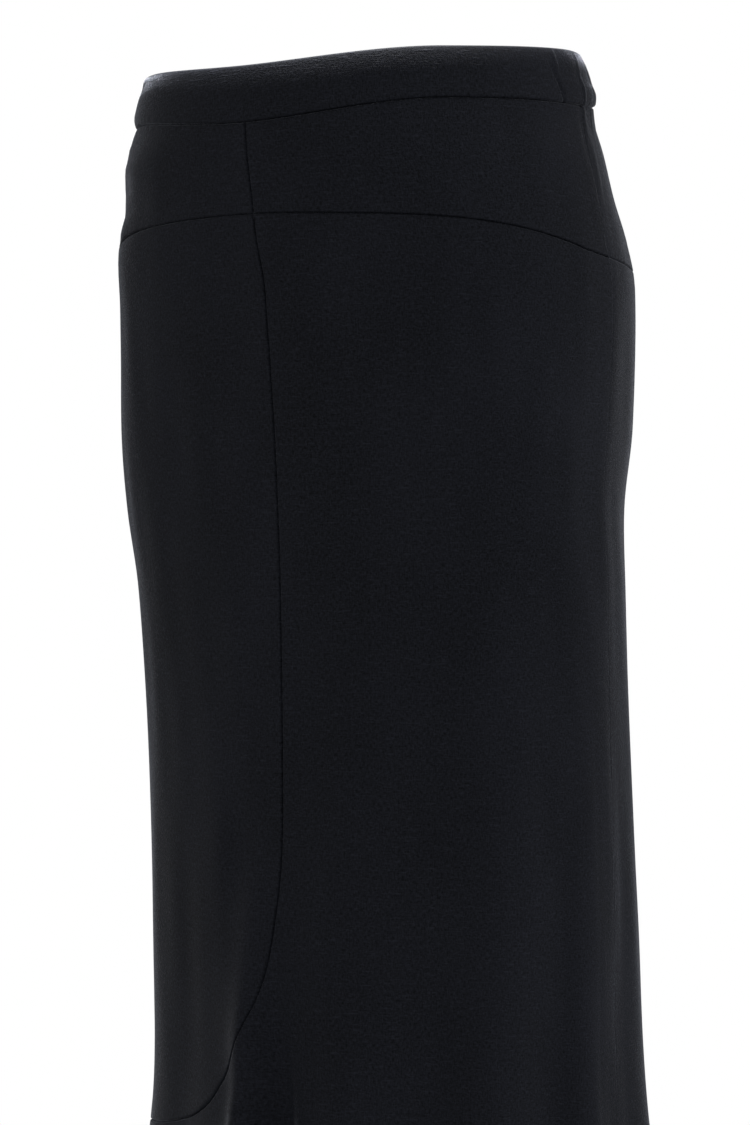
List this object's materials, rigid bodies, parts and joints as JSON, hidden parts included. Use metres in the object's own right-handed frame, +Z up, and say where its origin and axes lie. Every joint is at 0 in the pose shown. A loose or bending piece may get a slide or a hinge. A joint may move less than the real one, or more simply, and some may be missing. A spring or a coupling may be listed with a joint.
{
  "type": "tiered maxi skirt",
  "caption": "Hollow ankle-length pull-on skirt in its worn form, with a waistband, a hip yoke and an asymmetric flared lower tier; it hangs from the waist.",
  "frame": {"origin": "middle of the waist ring, half way up the waistband", "axes": "+Z up along the hang of the skirt, the front faces -Y and the wearer's left is +X"},
  "size_m": [0.4677, 0.3929, 0.9638],
  "materials": {
    "wool_crepe": "matt, near-black, fine crepe"
  },
  "bodies": {
    "root": {"waistband_front": "wool_crepe", "waistband_back": "wool_crepe", "yoke_front_right": "wool_crepe", "yoke_front_left": "wool_crepe", "yoke_back": "wool_crepe", "front_right_panel": "wool_crepe", "front_left_panel": "wool_crepe", "back_panel": "wool_crepe"}
  },
  "joints": []
}
